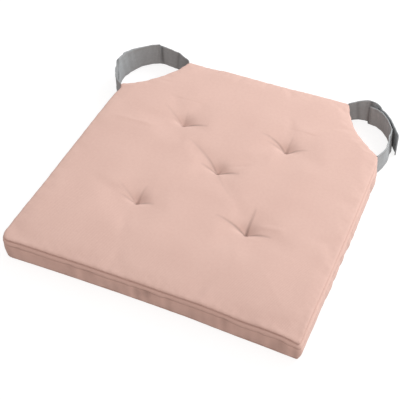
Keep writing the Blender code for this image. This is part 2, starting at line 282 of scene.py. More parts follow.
def row_shares():
    """The fine grid's t values, closest at the front and back seams and the tufts."""
    centres = [(FRONT_Y, SEAM_REACH), (BACK_Y, SEAM_REACH), (SIDE_Y, SEAM_REACH)]
    centres += [(tuft.y, TUFT_REACH) for tuft in TUFTS.values()]
    front = grid_lines(FRONT_Y, SIDE_Y, centres)
    rear = grid_lines(SIDE_Y, BACK_Y, centres)
    front = (front - FRONT_Y) / (SIDE_Y - FRONT_Y)
    rear = 1 + (rear - SIDE_Y) / (BACK_Y - SIDE_Y)
    return np.concatenate([front, rear[1:]])


def outline(count=900):
    """Points along the closed seam line, anticlockwise from the left front corner's left side."""
    steps = np.linspace(-1, 1, count // 4)
    rows = np.linspace(0, 2, count // 4)
    sides = [plan(steps, 0.0), plan(1.0, rows), plan(-steps, 2.0), plan(-1.0, rows[::-1])]
    return np.concatenate([np.stack(side, -1)[:-1] for side in sides])


OUTLINE = outline()


def seam_distance(x, y):
    """How far each point of the plan is from the seam line, and the direction out of the pad there."""
    points = np.stack([np.ravel(x), np.ravel(y)], -1)
    nearest = np.full(len(points), 1.0)
    outward = np.zeros((len(points), 2))
    for start, end in zip(OUTLINE, np.roll(OUTLINE, -1, axis=0)):
        step = end - start
        share = np.clip(((points - start) @ step) / (step @ step), 0, 1)
        offset = points - start - share[:, None] * step
        gap = np.hypot(offset[:, 0], offset[:, 1])
        closer = gap < nearest
        nearest[closer] = gap[closer]
        outward[closer] = np.array((step[1], -step[0])) / np.hypot(*step)
    shape = np.shape(x)
    return nearest.reshape(shape), outward.reshape(*shape, 2)


def rolled(x, y, distance, outward, width, height):
    """Where the edge of a panel goes as it rolls over: plan coordinates, and how far it drops."""
    turn = ROLL_END * np.clip(1 - distance / width, 0, 1)
    shift = np.where(distance < width, width * np.sin(turn) - (width - distance), 0)
    return x + outward[..., 0] * shift, y + outward[..., 1] * shift, height * (1 - np.cos(turn))


# ---- relief of the top and the underside ----

# Creases of each tuft: where one ends from the tuft in x and y, how far it bows to its left and its
# depth, all in mm, and the side its long slope lies on, 1 for left and -1 for right of its run
CREASES = {
    "rear_left": (
        (33, 7, 2.0, 2.2, 1), (-4, 27, 0, 0.9, -1), (-20, 9, 0, 1.2, -1), (-41, 28, 0, 0.8, -1),
    ),
    "rear_right": (
        (27, 12, 2.0, 1.6, 1), (0, 30, 0, 1.2, -1), (-43, 19, -4.0, 1.7, -1), (-31, 8, -1.0, 1.1, -1),
    ),
    "centre": (
        (29, 6, 1.5, 2.4, 1), (8, 22, 0, 0.7, -1), (-27, 7, 0, 1.6, -1), (-60, 43, -3.0, 1.3, -1),
        (38, -38, -3.0, 0.4, 1),
    ),
    "front_left": (
        (24, 4, 1.5, 1.7, 1), (1, 30, 0, 1.4, -1), (-26, 5, 0, 1.3, -1), (-36, 23, 0, 0.8, -1),
    ),
    "front_right": (
        (33, 5, 2.0, 2.5, 1), (-3, 44, 0, 2.0, -1), (-46, 13, -2.0, 1.9, -1),
    ),
}
MILLIMETRE = 0.001


def crease_place(dx, dy, end_x, end_y, bow, slope_side):
    """A point's place by a crease: how far aside on its sloping side, its spread, and its fading."""
    length = math.hypot(end_x, end_y) * MILLIMETRE
    along_x = end_x * MILLIMETRE / length
    along_y = end_y * MILLIMETRE / length
    share = (dx * along_x + dy * along_y) / length
    aside = dy * along_x - dx * along_y - bow * MILLIMETRE * 4 * share * (1 - share)
    spread = 1 + 0.8 * np.clip(share, 0, 1)
    fade = ease((share + 0.06) / 0.14) * np.clip(1 - share, 0, 1) ** 1.1
    return aside * slope_side, spread, fade


def crease_relief(dx, dy, end_x, end_y, bow, depth, slope_side):
    """How far one crease pulls the surface in: steep on one side, a long soft slope on the other."""
    aside, spread, fade = crease_place(dx, dy, end_x, end_y, bow, slope_side)
    steep = np.exp(-((aside / (CREASE_STEEP * spread)) ** 2))
    lip = np.exp(-np.maximum(aside, 0) / (CREASE_LIP * spread))
    slope = np.exp(-((np.maximum(aside, 0) / (CREASE_SLOPE * spread)) ** 2))
    profile = np.where(aside > 0, 0.45 * lip + 0.55 * slope, steep)
    return depth * MILLIMETRE * fade * profile


def painted_tuft_shade(x, y):
    """The shade painted at each point in a tuft's pinch, creases and pocket, from 0 to 1, where little
    light gets in.
    """
    total = np.zeros(np.shape(x))
    for name, tuft in TUFTS.items():
        dx = x - tuft.x
        dy = y - tuft.y
        total = np.maximum(total, np.exp(-((np.hypot(dx, dy) / PINCH_RADIUS) ** 2)))
        pocket = np.hypot(dx - POCKET_PLACE[0], dy - POCKET_PLACE[1]) / POCKET_RADIUS
        total = total + POCKET_SHADE * np.exp(-(pocket**2)) * (1 - total)
        for end_x, end_y, bow, depth, slope_side in CREASES[name]:
            aside, spread, fade = crease_place(dx, dy, end_x, end_y, bow, slope_side)
            width = CREASE_STEEP * (1.2 + 1.0 * fade) * spread
            middle = np.exp(-(((aside + 0.3 * CREASE_STEEP) / width) ** 2))
            total = np.maximum(total, min(1, depth / 2.2) * fade**0.7 * middle)
    return total


def tuft_relief(x, y, name):
    """How far one tuft pulls the surface in: its dish, its pinch and its creases."""
    tuft = TUFTS[name]
    dx = x - tuft.x
    dy = y - tuft.y
    away = np.hypot(dx, dy)
    behind = 0.25 + 0.75 * ease((dy + 0.006) / 0.012)
    pulled = DISH_DEPTH * behind * np.exp(-((away / DISH_RADIUS) ** 2))
    pulled = pulled + PINCH_DEPTH * np.exp(-((away / PINCH_RADIUS) ** 2))
    for crease in CREASES[name]:
        pulled = pulled + crease_relief(dx, dy, *crease)
    return pulled


def near_tufts(x, y, reach):
    """1 at each tuft, easing to 0 about twice the reach away."""
    return sum(np.exp(-(((x - p.x) ** 2 + (y - p.y) ** 2) / reach**2)) for p in TUFTS.values())


# Long faint folds of the top: start and end in the plan, height and half width, in mm
FOLDS = (
    ((-176, 50), (-94, 52), 0.6, 4),
    ((14, 16), (46, 32), -0.6, 3),
    ((86, -62), (126, -58), 0.6, 4),
    ((-150, -60), (-90, -78), -0.4, 7),
)


def folds(x, y):
    """The faint folds that run between tufts and seams."""
    total = np.zeros(np.shape(x))
    for start, end, height, half_width in FOLDS:
        a = np.array(start) * MILLIMETRE
        b = np.array(end) * MILLIMETRE
        along = b - a
        share = ((x - a[0]) * along[0] + (y - a[1]) * along[1]) / (along @ along)
        aside = ((y - a[1]) * along[0] - (x - a[0]) * along[1]) / np.hypot(*along)
        fade = ease(share / 0.35) * ease((1 - share) / 0.35)
        total += height * MILLIMETRE * fade * np.exp(-((aside / (half_width * MILLIMETRE)) ** 2))
    return total


# The corners sag, the rear left one most, and the front edge waves a little: each place in the plan,
# how far it lies lower, and its reach
SOFT_PLACES = (
    (-REAR_HALF, BACK_Y, 0.0035, 0.045),
    (REAR_HALF, BACK_Y, 0.0012, 0.045),
    (-FRONT_HALF, FRONT_Y, 0.0008, 0.045),
    (FRONT_HALF, FRONT_Y, 0.0008, 0.045),
    (FRONT_HALF, FRONT_Y, 0.0040, 0.015),
    (-0.088, BACK_Y, 0.0020, 0.022),
    (0.123, FRONT_Y, 0.0016, 0.020),
    (0.070, FRONT_Y, -0.0010, 0.018),
    (-0.165, FRONT_Y, -0.0009, 0.025),
)


def sag(x, y):
    """How much lower than the rest the top lies at its soft places."""
    total = 0
    for place_x, place_y, depth, reach in SOFT_PLACES:
        away2 = (x - place_x) ** 2 + (y - place_y) ** 2
        total = total + depth * np.exp(-away2 / reach**2)
    return total


def top_surface(x, y, distance):
    """Height of the top panel's outer face, before its edge rolls over."""
    height = EDGE_TOP + CROWN * ease(distance / CROWN_RUN) - sag(x, y)
    for name in TUFTS:
        height = height - tuft_relief(x, y, name)
    height = height + folds(x, y) * ease(distance / 0.01)
    depth, wavelength = TOP_WAVE
    height = height + depth * ripples(x, y, wavelength, SEED) * ease(distance / 0.02)
    return height + SEAM_RIPPLE[0] * seam_pucker(x, y, distance, SEED + 1)


def seam_pucker(x, y, distance, seed):
    """Short ripples square to the seam that die away from it."""
    return ripples(x, y, SEAM_RIPPLE[1], seed) * ease(distance / 0.002) * np.exp(-distance / 0.006)


def under_surface(x, y, distance):
    """Height of the bottom panel's outer face: flat where it rests, drawn up at the tufts."""
    height = 0.00015 * (1 + seam_pucker(x, y, distance, SEED + 2))
    for name in TUFTS:
        height = height + UNDER_SHARE * tuft_relief(x, y, name)
    return height


# ---- cloth simulation of the coarse cover ----


def coarse_cover():
    """Points and faces of the closed coarse cover, and which points its seams and tufts hold."""
    s = np.linspace(-1, 1, SIM_COLUMNS)
    t = np.linspace(0, 2, SIM_ROWS)
    x, y = plan(s[None, :], t[:, None])
    distance, _ = seam_distance(x, y)
    dish = near_tufts(x, y, DISH_RADIUS)
    top = np.stack([x, y, SEAM_TOP + CROWN * ease(distance / CROWN_RUN) - DISH_DEPTH * dish], -1)
    rise = SEAM_BOTTOM * np.exp(-distance / UNDER_ROLL_WIDTH)
    under = np.stack([x, y, rise + UNDER_SHARE * DISH_DEPTH * dish], -1)
    per_face = SIM_ROWS * SIM_COLUMNS
    index = np.arange(per_face).reshape(SIM_ROWS, SIM_COLUMNS)
    ring = np.concatenate([index[0, :-1], index[:-1, -1], index[-1, :0:-1], index[:0:-1, 0]])
    flat_top = top.reshape(-1, 3)
    flat_under = under.reshape(-1, 3)
    points = [flat_top, flat_under]
    rings = [ring + per_face]
    for level in range(1, SIM_LEVELS):
        share = level / SIM_LEVELS
        points.append(flat_under[ring] * (1 - share) + flat_top[ring] * share)
        rings.append(np.arange(len(ring)) + 2 * per_face + (level - 1) * len(ring))
    rings.append(ring)
    faces = []
    for r in range(SIM_ROWS - 1):
        for c in range(SIM_COLUMNS - 1):
            quad = (index[r, c], index[r, c + 1], index[r + 1, c + 1], index[r + 1, c])
            faces.append(tuple(int(i) for i in quad))
            faces.append(tuple(int(i) + per_face for i in reversed(quad)))
    for lower, upper in zip(rings, rings[1:]):
        for i in range(len(ring)):
            j = (i + 1) % len(ring)
            faces.append((int(lower[i]), int(lower[j]), int(upper[j]), int(upper[i])))
    held = [int(i) for i in ring] + [int(i) + per_face for i in ring]
    for p in TUFTS.values():
        nearest = int(np.argmin(np.hypot(flat_top[:, 0] - p.x, flat_top[:, 1] - p.y)))
        held += [nearest, nearest + per_face]
    return np.concatenate(points), faces, held


def inflate():
    """How far each point of the coarse top and underside moves when the cover is inflated."""
    points, faces, held = coarse_cover()
    size = SIM_ROWS * SIM_COLUMNS
    mesh = bpy.data.meshes.new("coarse_cover")
    mesh.from_pydata(points.tolist(), [], faces)
    cover = bpy.data.objects.new("coarse_cover", mesh)
    bpy.context.scene.collection.objects.link(cover)
    pins = cover.vertex_groups.new(name="held")
    pins.add(held, 1.0, "REPLACE")
    cloth = cover.modifiers.new("cloth", "CLOTH")
    settings = cloth.settings
    settings.quality = 6
    settings.mass = 0.2
    settings.tension_stiffness = 30
    settings.compression_stiffness = 30
    settings.shear_stiffness = 15
    settings.bending_stiffness = 1.5
    settings.shrink_min = -0.006
    settings.use_pressure = True
    settings.uniform_pressure_force = 4
    settings.vertex_group_mass = "held"
    settings.effector_weights.gravity = 0
    cloth.collision_settings.use_collision = False
    cloth.point_cache.frame_start = 1
    cloth.point_cache.frame_end = SIM_FRAMES
    scene = bpy.context.scene
    for number in range(1, SIM_FRAMES + 1):
        scene.frame_set(number)
    swollen = cover.evaluated_get(bpy.context.evaluated_depsgraph_get()).data
    moved = np.array([v.co for v in swollen.vertices]) - points
    bpy.data.objects.remove(cover)
    scene.frame_set(1)
    length = np.linalg.norm(moved, axis=1, keepdims=True)
    moved = moved * SWELL_SHARE * np.minimum(1, SIM_CAP / np.maximum(length, 1e-9))
    shape = (SIM_ROWS, SIM_COLUMNS, 3)
    return moved[:size].reshape(shape), moved[size:2 * size].reshape(shape)


def smooth_lookup(field, s, t):
    """The coarse field at s and t, by uniform cubic B-splines both ways."""
    columns = (np.asarray(s) + 1) / 2 * (SIM_COLUMNS - 1)
    rows = np.asarray(t) / 2 * (SIM_ROWS - 1)
    columns, rows = np.broadcast_arrays(columns, rows)
    total = 0
    for row, row_weight in spline_weights(rows, SIM_ROWS):
        for column, column_weight in spline_weights(columns, SIM_COLUMNS):
            total = total + field[row, column] * (row_weight * column_weight)[..., None]
    return total


def spline_weights(position, count):
    """The four (index, weight) pairs of a cubic B-spline at each position."""
    base = np.floor(position).astype(int)
    f = position - base
    weights = (
        (1 - f) ** 3 / 6,
        (3 * f**3 - 6 * f**2 + 4) / 6,
        (-3 * f**3 + 3 * f**2 + 3 * f + 1) / 6,
        f**3 / 6,
    )
    return [(np.clip(base + k - 1, 0, count - 1), w) for k, w in enumerate(weights)]


# ---- meshes ----


def new_object(name, points, faces, cloth_coords, painted_shading=None):
    """A mesh object that also carries each point's place on its cloth and the shade painted on it."""
    mesh = bpy.data.meshes.new(name)
    mesh.from_pydata(np.asarray(points).tolist(), [], faces)
    attribute = mesh.attributes.new("cloth", "FLOAT_VECTOR", "POINT")
    attribute.data.foreach_set("vector", np.asarray(cloth_coords, np.float32).ravel())
    # Painted shade of each point, by which the cloth materials darken its colour
    depth = mesh.attributes.new("painted_shade", "FLOAT", "POINT")
    if painted_shading is not None:
        depth.data.foreach_set("value", np.asarray(painted_shading, np.float32).ravel())
    bm = bmesh.new()
    bm.from_mesh(mesh)
    bmesh.ops.recalc_face_normals(bm, faces=bm.faces)
    bm.to_mesh(mesh)
    bm.free()
    mesh.shade_smooth()
    made = bpy.data.objects.new(name, mesh)
    bpy.context.scene.collection.objects.link(made)
    return made


def strided(count):
    """Every few of count grid lines, the last one included."""
    lines = list(range(0, count - 1, INNER_STRIDE))
    return np.array(lines + [count - 1])


def rim(rows, columns):
    """The (row, column) pairs round the border of a grid, anticlockwise, from given rows and columns."""
    pairs = [(rows[0], c) for c in columns[:-1]] + [(r, columns[-1]) for r in rows[:-1]]
    pairs += [(rows[-1], c) for c in columns[:0:-1]] + [(r, columns[0]) for r in rows[:0:-1]]
    return pairs


def grid_quads(index):
    """The four-sided faces between the neighbouring points of a grid of indices."""
    corners = (index[:-1, :-1], index[:-1, 1:], index[1:, 1:], index[1:, :-1])
    return np.stack([corner.ravel() for corner in corners], -1)


def panel(name, outer, inner_height, outward, distance, painted_shading):
    """A closed padded panel: its fine outer face and a plainer inner face, joined round the seam."""
    rows, columns = outer.shape[:2]
    inner = outer.copy()
    inner[..., 2] = inner_height
    inner[..., :2] -= outward * (INNER_INSET * (1 - ease(distance / 0.010)))[..., None]
    kept_rows = strided(rows)
    kept_columns = strided(columns)
    inner = inner[np.ix_(kept_rows, kept_columns)]
    index = np.arange(rows * columns).reshape(rows, columns)
    inner_index = np.arange(inner[..., 0].size).reshape(inner.shape[:2]) + index.size
    faces = grid_quads(index).tolist() + grid_quads(inner_index)[:, ::-1].tolist()
    outer_rim = rim(range(rows), range(columns))
    inner_rim = rim(range(len(kept_rows)), range(len(kept_columns)))
    starts = [outer_rim.index((kept_rows[r], kept_columns[c])) for r, c in inner_rim]
    for i, start in enumerate(starts):
        after = (i + 1) % len(starts)
        stop = starts[after] or len(outer_rim)
        fine = [int(index[outer_rim[k % len(outer_rim)]]) for k in range(start, stop + 1)]
        faces.append(fine + [int(inner_index[inner_rim[after]]), int(inner_index[inner_rim[i]])])
    points = np.concatenate([outer.reshape(-1, 3), inner.reshape(-1, 3)])
    painted_shading = np.concatenate([np.ravel(painted_shading), np.zeros(inner[..., 0].size)])
    return new_object(name, splay(points), faces, points * (1, 1, 0), painted_shading)


def make_panels():
    """The top and bottom of the cover, each with its wadding behind it."""
    swell_top, swell_under = inflate()
    s = column_shares()[None, :]
    t = row_shares()[:, None]
    x, y = plan(s, t)
    distance, outward = seam_distance(x, y)
    held = ease(distance / 0.006)[..., None]
    top_x, top_y, drop = rolled(x, y, distance, outward, TOP_ROLL_WIDTH, TOP_ROLL_HEIGHT)
    top = np.stack([top_x, top_y, top_surface(x, y, distance) - drop], -1)
    top = top + smooth_lookup(swell_top, s, t) * held
    under_x, under_y, rise = rolled(x, y, distance, outward, UNDER_ROLL_WIDTH, UNDER_ROLL_HEIGHT)
    under = np.stack([under_x, under_y, under_surface(x, y, distance) + rise], -1)
    swell = smooth_lookup(swell_under, s, t) * held
    under[..., 2] = np.maximum(under[..., 2] + 0.5 * np.maximum(swell[..., 2], 0), 0.0)
    # Painted shade in the tufts and along the seam, and painted shade darkening the top towards its front
    # edge
    painted_shading = np.maximum(painted_tuft_shade(x, y), SEAM_SHADE * np.exp(-((distance / SEAM_LINE) ** 2)))
    painted_shading = painted_shading + FRONT_PAINTED_SHADE * (1 - ease((y - FRONT_Y) / FRONT_PAINTED_SHADE_REACH)) * (1 - painted_shading)
    waist = near_tufts(x, y, WAIST_REACH)
    ceiling = EDGE_TOP - PANEL_DEPTH - TOP_WAIST * waist
    floor = PANEL_DEPTH + UNDER_WAIST * waist
    upper = panel("quilted_top", top, ceiling, outward, distance, painted_shading)
    lower = panel("quilted_underside", under, floor, outward, distance, painted_shading)
    return upper, lower


def make_foam():
    """The foam core inside the cover, drawn together at the tufts."""
    s = np.linspace(-0.98, 0.98, 70)[None, :]
    t = np.linspace(0.014, 1.965, 72)[:, None]
    x, y = plan(s, t)
    waist = near_tufts(x, y, WAIST_REACH)
    soft = 0.0002 * ripples(x, y, 0.02, SEED + 5)
    ceiling = EDGE_TOP - PANEL_DEPTH - FOAM_CLEARANCE - (TOP_WAIST + FOAM_EXTRA_WAIST) * waist
    floor = PANEL_DEPTH + FOAM_CLEARANCE + (UNDER_WAIST + FOAM_EXTRA_WAIST) * waist
    distance, outward = seam_distance(x, y)
    upper = np.stack([x, y, ceiling + soft], -1)
    return panel("foam_core_block", upper, floor + soft, outward, distance, 0 * waist)


def path_outward(points):
    """The unit outward direction at each point of an open anticlockwise path in the plan."""
    along = np.gradient(points, axis=0)
    outward = np.stack([along[:, 1], -along[:, 0]], -1)
    return outward / np.linalg.norm(outward, axis=1, keepdims=True)


def even_path(points, step):
    """The open path walked again in equal steps, and the distance gone at each."""
    lengths = np.linalg.norm(np.diff(points, axis=0), axis=1)
    gone = np.concatenate([[0], np.cumsum(lengths)])
    count = max(2, int(round(gone[-1] / step)))
    wanted = np.linspace(0, gone[-1], count + 1)
    walked = np.stack([np.interp(wanted, gone, points[:, k]) for k in range(2)], -1)
    return walked, wanted


def band_lines():
    """The seam line of each band, anticlockwise, by the CAD band that it dresses."""
    rows = np.linspace(0, 1, 400)
    steps = np.linspace(-1, 1, 800)
    left = np.stack(plan(-1.0, rows[::-1]), -1)
    front = np.stack(plan(steps, 0.0), -1)
    right = np.stack(plan(1.0, rows), -1)
    return {
        "front_and_sides_band": np.concatenate([left, front[1:], right[1:]]),
        "right_cut_band": np.stack(plan(1.0, 1 + rows), -1),
        "back_band": np.stack(plan(-steps, 2.0), -1),
        "left_cut_band": np.stack(plan(-1.0, 2 - rows), -1),
    }


def quarter(share):
    """Rises from 0 to 1 along a quarter circle, upright at its start."""
    return np.sqrt(1 - (1 - np.clip(share, 0, 1)) ** 2)


def band_relief(gone, share, total, outward, seed):
    """How far a band stands out of its seam line at share of its height, and the shade painted there."""
    height = SEAM_TOP - SEAM_BOTTOM
    from_top = (1 - share) * height
    from_bottom = share * height
    bulge = BAND_BULGE * (1 + SIDE_SHARE * outward[:, None, 0]) * (1 - (2 * share - 1) ** 2)
    groove = GROOVE_DEPTH * np.exp(-(((from_top - WELT_HEIGHT) / GROOVE_WIDTH) ** 2))
    patch = 0.55 + 0.45 * ripples(gone, 0 * gone, PUCKER_PATCH, seed + 3)
    below_welt = ease((from_top - 0.5 * WELT_HEIGHT) / 0.003)
    pucker = ripples(gone, 0.35 * from_top, PUCKER_LENGTH, seed) * patch * below_welt
    soft = BAND_WAVE[0] * ripples(gone, 3 * from_top, BAND_WAVE[1], seed + 1)
    welt = WELT_BULGE * ease(1.6 - from_top / WELT_HEIGHT)
    swell = bulge + welt - groove + PUCKER_DEPTH * pucker + soft
    top_edge = quarter(from_top / BAND_ROLL)
    bottom_edge = quarter(from_bottom / BAND_ROLL)
    from_end = np.minimum(gone, total - gone)
    ends = quarter(from_end / END_ROUNDING) * (0.35 + 0.65 * ease(from_end / END_RUN))
    out = swell * np.minimum(top_edge, bottom_edge) * ends
    out = out - TOP_TUCK * (1 - top_edge) - UNDER_TUCK * (1 - bottom_edge)
    # Painted shade in the top seam, the groove, at the foot by the floor and in the hollows of the puckers
    shade = SEAM_SHADE * np.exp(-((from_top / SEAM_LINE) ** 2))
    shade = shade + GROOVE_SHADE * np.exp(-(((from_top - WELT_HEIGHT) / (0.8 * GROOVE_WIDTH)) ** 2))
    shade = shade + FOOT_SHADE * np.exp(-((from_bottom / (1.6 * SEAM_LINE)) ** 2))
    shade = shade + PUCKER_SHADE * np.clip(-pucker, 0, 2)
    return out, np.clip(shade, 0, 1)


def make_band(name, line, seed):
    """One edge strip of the cover as a closed thin strip with its welt-like rolled top edge."""
    walked, gone = even_path(line, BAND_STEP)
    outward = path_outward(walked)
    share = np.linspace(0, 1, BAND_LEVELS)[None, :]
    out, shade = band_relief(gone[:, None], share, gone[-1], outward, seed)
    drop = sag(walked[:, 0], walked[:, 1])[:, None]
    height = SEAM_BOTTOM + (SEAM_TOP - drop - SEAM_BOTTOM) * share
    plan_outer = walked[:, None, :] + outward[:, None, :] * out[..., None]
    outer = np.concatenate([plan_outer, np.broadcast_to(height, out.shape)[..., None]], -1)
    inner = outer.copy()
    inner[..., :2] -= outward[:, None, :] * BAND_THICKNESS
    stations, levels = out.shape
    index = np.arange(stations * levels).reshape(stations, levels)
    size = stations * levels
    quads = np.stack([index[:-1, :-1], index[1:, :-1], index[1:, 1:], index[:-1, 1:]], -1).reshape(-1, 4)
    ring = np.concatenate([index[:-1, 0], index[-1, :-1], index[:0:-1, -1], index[0, :0:-1]])
    following = np.roll(ring, -1)
    border = np.stack([ring, following, following + size, ring + size], -1)
    faces = np.concatenate([quads, (quads + size)[:, ::-1], border]).tolist()
    points = splay(np.concatenate([outer.reshape(-1, 3), inner.reshape(-1, 3)]))
    cloth = np.zeros_like(outer)
    cloth[..., 0] = gone[:, None]
    cloth[..., 1] = height
    cloth = np.concatenate([cloth.reshape(-1, 3)] * 2)
    shade = np.concatenate([np.ravel(shade), np.zeros(size)])
    return new_object(f"{name}_cloth", points, faces, cloth, shade)


# ---- straps ----

STRAP_WIDTH = STRAP_HIGH.z - STRAP_LOW.z
STRAP_FOOT = STRAP_LOW.z
STRAP_THICKNESS = 0.0014
TAPE_WIDTH = 0.025
TAPE_THICKNESS = 0.0004
LAYER_GAP = 0.0001
LAYER_OFFSET = (STRAP_THICKNESS + 2 * TAPE_THICKNESS + LAYER_GAP) / 2
MERGE_RUN = 0.022
STRAP_STEP = 0.0015
STRAP_EDGE = 0.0009
HEM_WIDTH = 0.0045
TIP_ROUNDING = 0.0012
STITCH_LENGTH = 0.0028
STITCH_PITCH = 0.0040
THREAD_RADIUS = 0.00026
TUFT_THREAD_RADIUS = 0.00045
SEAM_MARGIN = 0.003
HEM_THICKENING = 0.00008
WRINKLE_DEPTH = 0.00030
WRINKLE_LENGTH = 0.012
WRINKLE_SEED = {"right": SEED + 45, "left": SEED + 44}

# The plan line of each loop's lower edge, from the corner where its rear half is sewn in to the one
# where its side half is
LOOP_BENDS = {
    "right": (
        (0.1205, 0.1985), (0.1245, 0.2035), (0.1290, 0.2070), (0.1370, 0.2098), (0.1475, 0.2102),
        (0.1580, 0.2078), (0.1703, 0.2015), (0.1805, 0.1920), (0.1885, 0.1810), (0.1948, 0.1700),
        (0.1952, 0.1570), (0.1951, 0.1454), (0.1928, 0.1310), (0.1900, 0.1220), (0.1868, 0.1140),
    ),
    "left": (
        (-0.1205, 0.1985), (-0.1250, 0.2035), (-0.1310, 0.2070), (-0.1425, 0.2105), (-0.1600, 0.2130),
        (-0.1785, 0.2112), (-0.1960, 0.1975), (-0.2055, 0.1840), (-0.2118, 0.1650), (-0.2098, 0.1480),
        (-0.2085, 0.1370), (-0.2045, 0.1285), (-0.1975, 0.1205), (-0.1900, 0.1150),
    ),
}
# How far the top edge leans out, as (distance round the loop from its rear root, lean) pairs
LEFT_LEAN = (
    (0.0, -0.0010), (0.010, -0.0036), (0.025, -0.0018), (0.045, -0.0010), (0.0613, 0.0), (0.0858, 0.0018),
    (0.0998, 0.0048), (0.1138, 0.0068), (0.128, 0.0055), (0.141, 0.0030), (0.152, 0.0),
)
RIGHT_OUTER_LEAN = (
    (0.0, 0.0), (0.010, -0.0010), (0.030, 0.0048), (0.038, 0.0046), (0.055, -0.0008), (0.105, 0.0),
)
RIGHT_INNER_LEAN = ((0.0385, -0.0027), (0.085, -0.0025), (0.102, -0.0038), (0.121, -0.0023), (0.132, 0.0))
# Each half: its length, how far its tip lifts, how far it curls out, and its lean
HALVES = {
    ("right", "rear"): (0.1075, 0.0, 0.0058, RIGHT_OUTER_LEAN),
    ("right", "side"): (0.1200, 0.0, -0.0022, RIGHT_INNER_LEAN),
    ("left", "rear"): (0.1130, 0.0, 0.0, LEFT_LEAN),
    ("left", "side"): (0.1235, 0.0050, -0.0012, LEFT_LEAN),
}
# Creases across each half: distance round the loop from its rear root at the half's lower and upper
# edges, depth and half width
STRAP_CREASES = {
    ("right", "rear"): ((0.018, 0.014, 0.0005, 0.0045),),
    ("right", "side"): ((0.124, 0.121, 0.0005, 0.0025),),
    ("left", "rear"): ((0.030, 0.024, 0.0005, 0.0040), (0.053, 0.055, 0.0004, 0.0020)),
    ("left", "side"): ((0.150, 0.1260, 0.0012, 0.0032),),
}
# Painted shade on the straps: full in a crease this deep, a painted shadow at the overlapping tips, and
# painted shade that reaches out from each root
DEEP_CREASE = 0.0012
TIP_SHADE = {"right": 0.75, "left": 0.25}
ROOT_SHADE = 0.55
ROOT_SHADE_REACH = {
    ("right", "rear"): 0.009,
    ("right", "side"): 0.009,
    ("left", "rear"): 0.012,
    ("left", "side"): 0.055,
}
CURL_RUN = 0.016
TAPE_MARGIN = 0.008


def smooth_path(points, step):
    """A Catmull-Rom curve through the points, walked in even steps, with the distance gone."""
    p = np.array(points, float)
    p = np.concatenate([[2 * p[0] - p[1]], p, [2 * p[-1] - p[-2]]])
    f = np.linspace(0, 1, 24, endpoint=False)[:, None]
    runs = []
    for a, b, c, d in zip(p, p[1:], p[2:], p[3:]):
        bend = f**2 * (a - 2.5 * b + 2 * c - d / 2) + f**3 * (1.5 * (b - c) + (d - a) / 2)
        runs.append(b + f * (c - a) / 2 + bend)
    runs.append(p[-2:-1])
    return even_path(np.concatenate(runs), step)


def loop_line(side):
    """A loop's plan line from its rear root to its side root, with the outward direction."""
    line, gone = smooth_path(LOOP_BENDS[side], STRAP_STEP)
    outward = path_outward(line) * (-1 if side == "right" else 1)
    return line, gone, outward


def eased_between(pairs, at):
    """A smooth function through (position, value) pairs, level at each and beyond the ends."""
    total = pairs[0][1]
    for (start, low), (stop, high) in zip(pairs, pairs[1:]):
        total = total + (high - low) * ease((at - start) / (stop - start))
    return total


def strap_creases(side, end, gone, share):
    """How far a half's creases push it outward, at share of its height, and the shade painted in them."""
    out = 0 * gone * share
    shade = 0 * gone * share
    for low, high, depth, half_width in STRAP_CREASES[side, end]:
        aside = (gone - low - (high - low) * share) / half_width
        out = out + depth * np.exp(-(aside**2))
        shade = shade + depth / DEEP_CREASE * np.exp(-((aside / 0.6) ** 2))
    return out, shade


def strap_course(side, end):
    """One strap half's stations: lower edge, outward direction, lean, lift, painted shade, place and
    distance.

    The place is the distance round the loop from its rear root, the distance that from the half's own.
    """
    line, gone, outward = loop_line(side)
    length, tip_lift, curl, leans = HALVES[side, end]
    other_length = HALVES[side, "side" if end == "rear" else "rear"][0]
    total = gone[-1]
    travelled = gone if end == "rear" else total - gone
    overlap_start = total - other_length
    layer = LAYER_OFFSET * ease((travelled - overlap_start) / MERGE_RUN + 1)
    layer = layer * (1 if end == "rear" else -1)
    curled = curl * ease(1 - (length - travelled) / CURL_RUN)
    lean = eased_between(leans, gone)
    lift = tip_lift * np.clip(travelled / length, 0, 1) ** 4
    wrinkle = WRINKLE_DEPTH * ripples(gone, 0 * gone, WRINKLE_LENGTH, WRINKLE_SEED[side])
    wrinkle = wrinkle * ease(travelled / 0.04)
    # Painted shade near the root, and a painted shadow at the tip where the halves overlap
    shade = ROOT_SHADE * np.exp(-travelled / ROOT_SHADE_REACH[side, end])
    if end == "rear":
        shade = shade + TIP_SHADE[side] * np.exp(-(((gone - overlap_start + 0.0010) / 0.0024) ** 2))
    else:
        shade = shade + TIP_SHADE[side] * np.exp(-(((length - travelled) / 0.0030) ** 2))
    foot = line + outward * (layer + curled + wrinkle)[:, None]
    kept = travelled <= length + 0.5 * STRAP_STEP
    order = slice(None) if end == "rear" else slice(None, None, -1)
    parts = (foot, outward, lean, lift, shade, gone, travelled)
    return tuple(part[kept][order] for part in parts)


